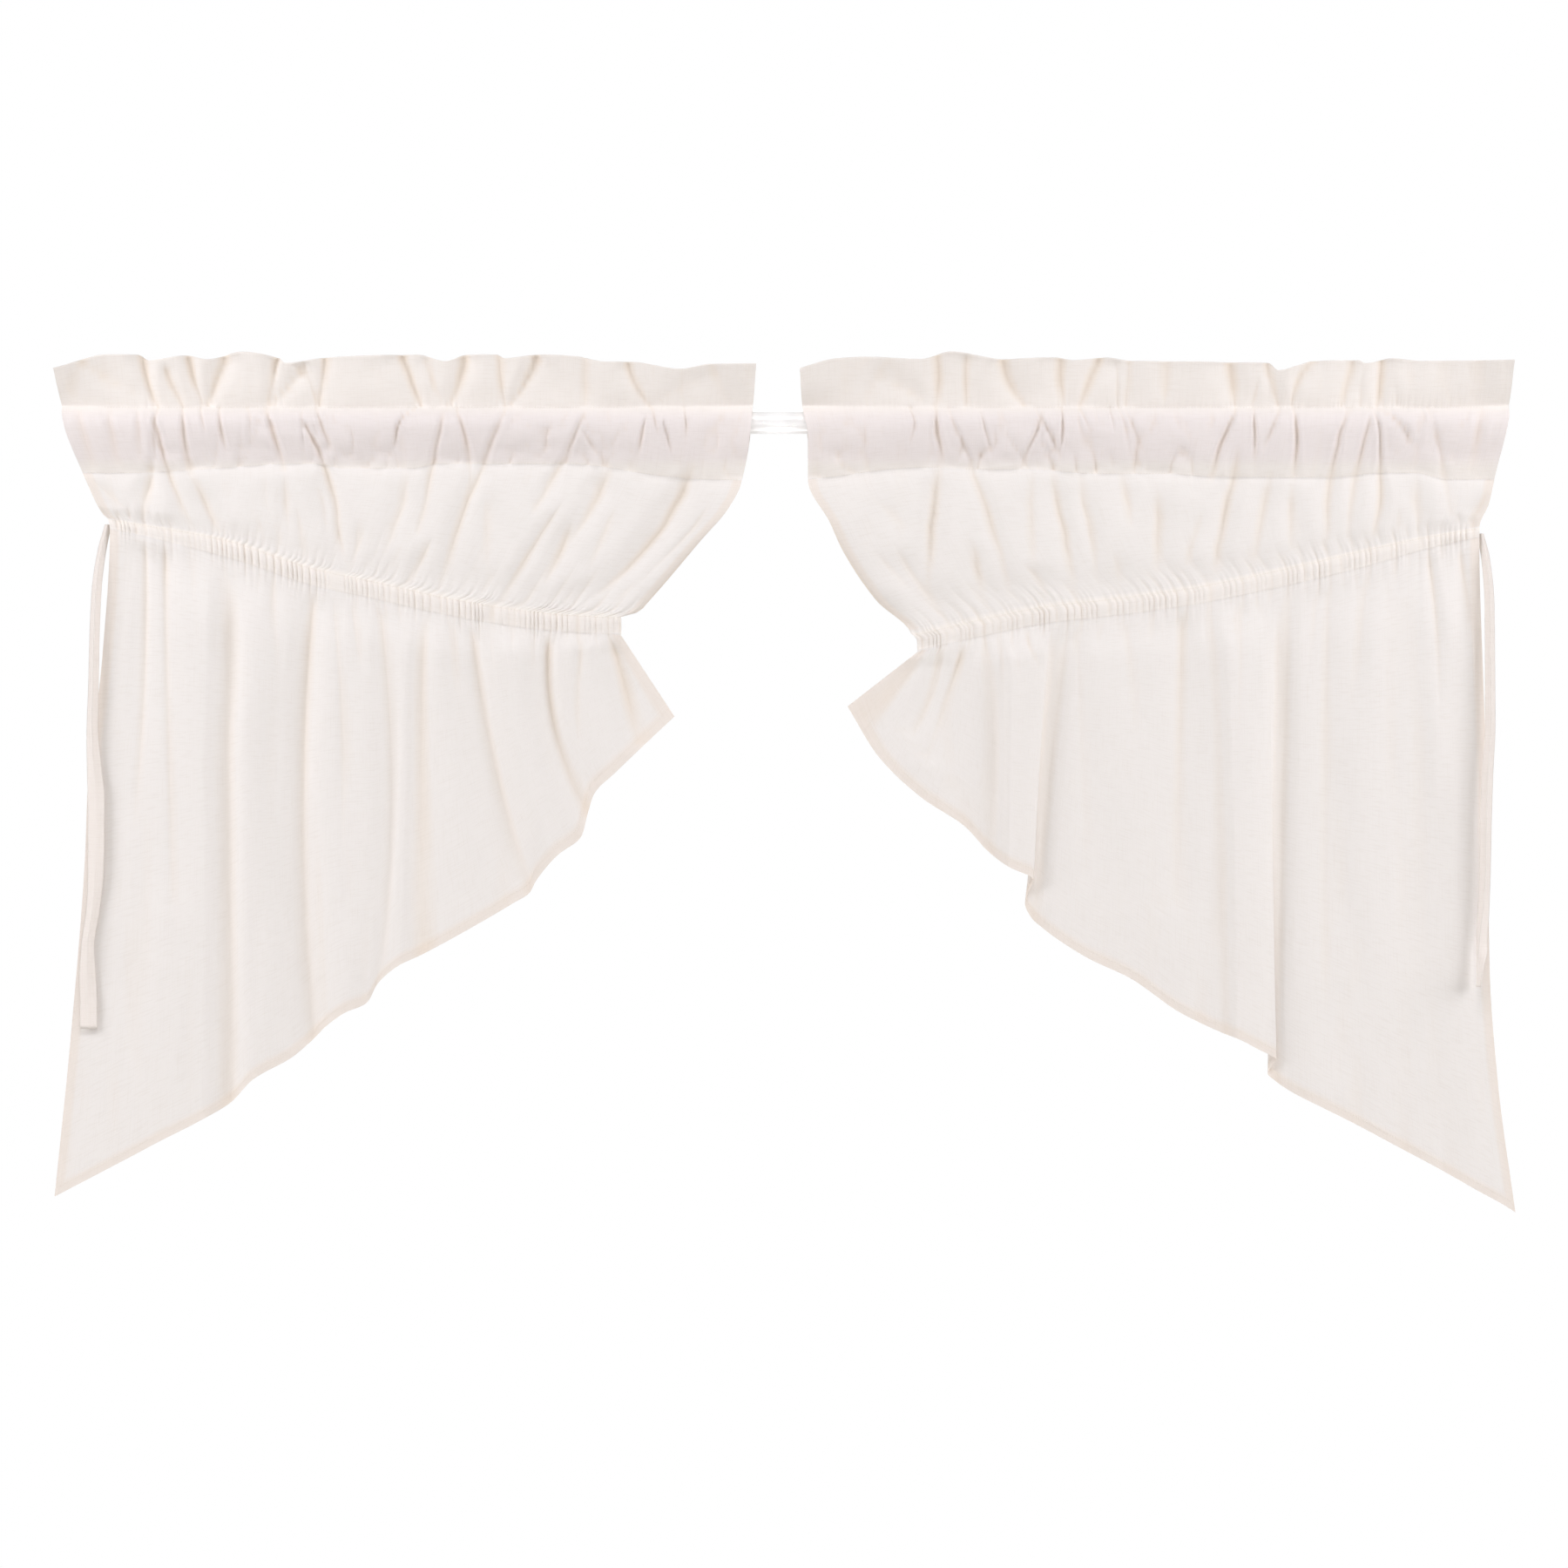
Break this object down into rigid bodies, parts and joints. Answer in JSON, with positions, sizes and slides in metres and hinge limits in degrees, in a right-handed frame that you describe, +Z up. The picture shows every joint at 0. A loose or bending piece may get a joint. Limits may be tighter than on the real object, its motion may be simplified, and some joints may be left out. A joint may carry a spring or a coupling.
{
  "type": "swag and tail curtain pair on a rod",
  "caption": "Swag and tail drapes on a plain rod, with ruffled headings, rod pockets, slanting drawstring casings with hanging ties, and tails cut to a slanting hem.",
  "frame": {"origin": "on the rod's axis, half way between its ends", "axes": "+X along the rod to the viewer's right, +Y to the wall or window behind, +Z up; the room is at -Y"},
  "size_m": [1.5883, 0.0532, 0.9353],
  "materials": {
    "rod": "white satin paint on wood",
    "cloth": "plain woven cotton, off-white, slightly see-through",
    "casing": "the same cloth, sewn on the back",
    "tie": "the same cloth as a folded, pressed tape"
  },
  "bodies": {
    "root": {"rod": "rod", "panel_left": "cloth", "panel_right": "cloth", "casing_left": "casing", "casing_right": "casing", "tie_left": "tie", "tie_right": "tie"}
  },
  "joints": []
}
